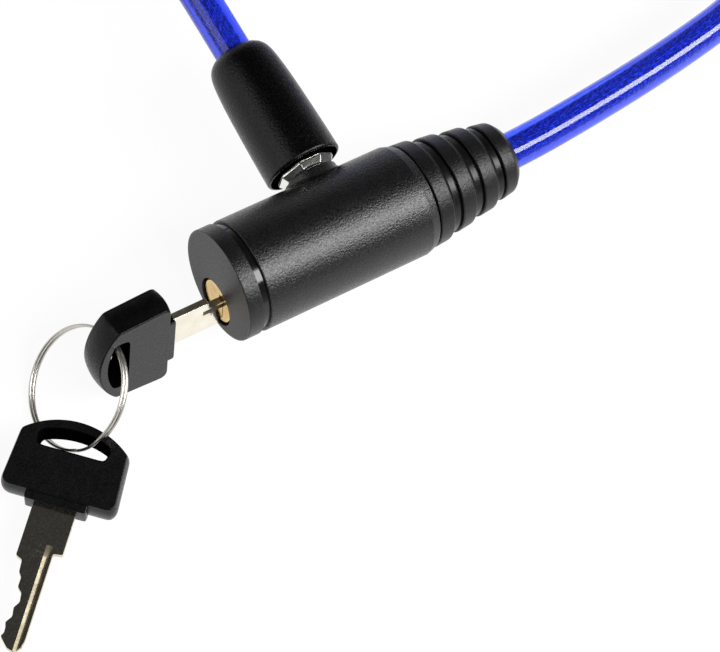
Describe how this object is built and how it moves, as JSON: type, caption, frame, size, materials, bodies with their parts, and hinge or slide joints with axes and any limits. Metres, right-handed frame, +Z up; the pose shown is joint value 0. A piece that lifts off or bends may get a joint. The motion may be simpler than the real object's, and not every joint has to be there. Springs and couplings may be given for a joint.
{
  "type": "cable lock",
  "caption": "Key-operated cable lock: round barrel with key plug and ribbed boot, bolt in a tapered sleeve, jacketed steel cable, and two keys on a split ring.",
  "frame": {"origin": "on the table, under the middle of the lock and its keys (bottom centre of the box round every node but the cable)", "axes": "+X along the barrel from the key toward the boot, +Y along the bolt toward its sleeve, +Z up"},
  "size_m": [0.2368, 0.1883, 0.031],
  "materials": {
    "shell_black": "near-black ABS with a fine sparkle grain",
    "face_black": "near-black ABS, smooth face",
    "gloss_black": "glossy black",
    "boot_black": "near-black soft plastic, semi-matt",
    "bow_black": "satin black plastic",
    "zinc": "die-cast zinc",
    "steel": "plain steel",
    "brass": "pale brass",
    "nickel": "nickel-plated brass",
    "ring_nickel": "nickel-plated spring steel",
    "chrome": "polished chrome plate",
    "jacket_blue": "translucent blue PVC",
    "wire_rope": "galvanised wire rope"
  },
  "bodies": {
    "lock": {"body_shell": "shell_black", "front_ring": "face_black", "groove_band": "gloss_black", "cable_boot": "boot_black", "lock_housing": "zinc", "socket_liner": "steel", "plug_pin": "steel", "anchor_ferrule": "steel", "anchor_pin": "steel", "cable_jacket_lead": "jacket_blue", "cable_jacket_coil": "jacket_blue", "cable_core_lead": "wire_rope", "cable_core_coil": "wire_rope"},
    "plug": {"key_plug": "brass", "wafers": "brass", "wafer_spring": "steel", "plug_cam": "steel"},
    "latch_body": {"latch": "steel", "latch_spring": "steel"},
    "key": {"key_blade": "nickel", "key_bow": "bow_black"},
    "ring": {"split_ring": "ring_nickel"},
    "spare": {"spare_blade": "nickel", "spare_bow": "bow_black"},
    "bolt_end": {"bolt": "chrome", "bolt_collar": "chrome", "bolt_sleeve": "shell_black", "sleeve_ferrule": "steel", "sleeve_pin": "steel", "cable_jacket_tail": "jacket_blue", "cable_core_tail": "wire_rope"}
  },
  "joints": [
    {"name": "plug_turn", "type": "hinge", "parent": "lock", "child": "plug", "pos_m": [0.0288, -0.0007, 0.013], "axis": [-1, 0, 0], "range_deg": [0, 90]},
    {"name": "latch_lift", "type": "slide", "parent": "lock", "child": "latch_body", "axis": [0, 0, 1], "range_m": [0, 0.00184], "deforming": ["latch_spring"]},
    {"name": "key_out", "type": "slide", "parent": "plug", "child": "key", "axis": [-1, 0, 0], "range_m": [0, 0.025]},
    {"name": "ring_swing", "type": "hinge", "parent": "key", "child": "ring", "pos_m": [-0.02499, -0.00072, 0.01822], "axis": [0, -0.9681, 0.2504], "range_deg": [-8, 25]},
    {"name": "spare_run", "type": "hinge", "parent": "ring", "child": "spare", "pos_m": [-0.03345, -0.0036, 0.01006], "axis": [-0.7138, 0.1846, 0.6756], "range_deg": [-45, 45]},
    {"name": "bolt_draw", "type": "slide", "parent": "lock", "child": "bolt_end", "axis": [0, 1, 0], "range_m": [0, 0.024]}
  ],
  "couplings": [
    {"joint": "latch_lift", "follows": "plug_turn", "m_per_rad": 0.00117}
  ]
}
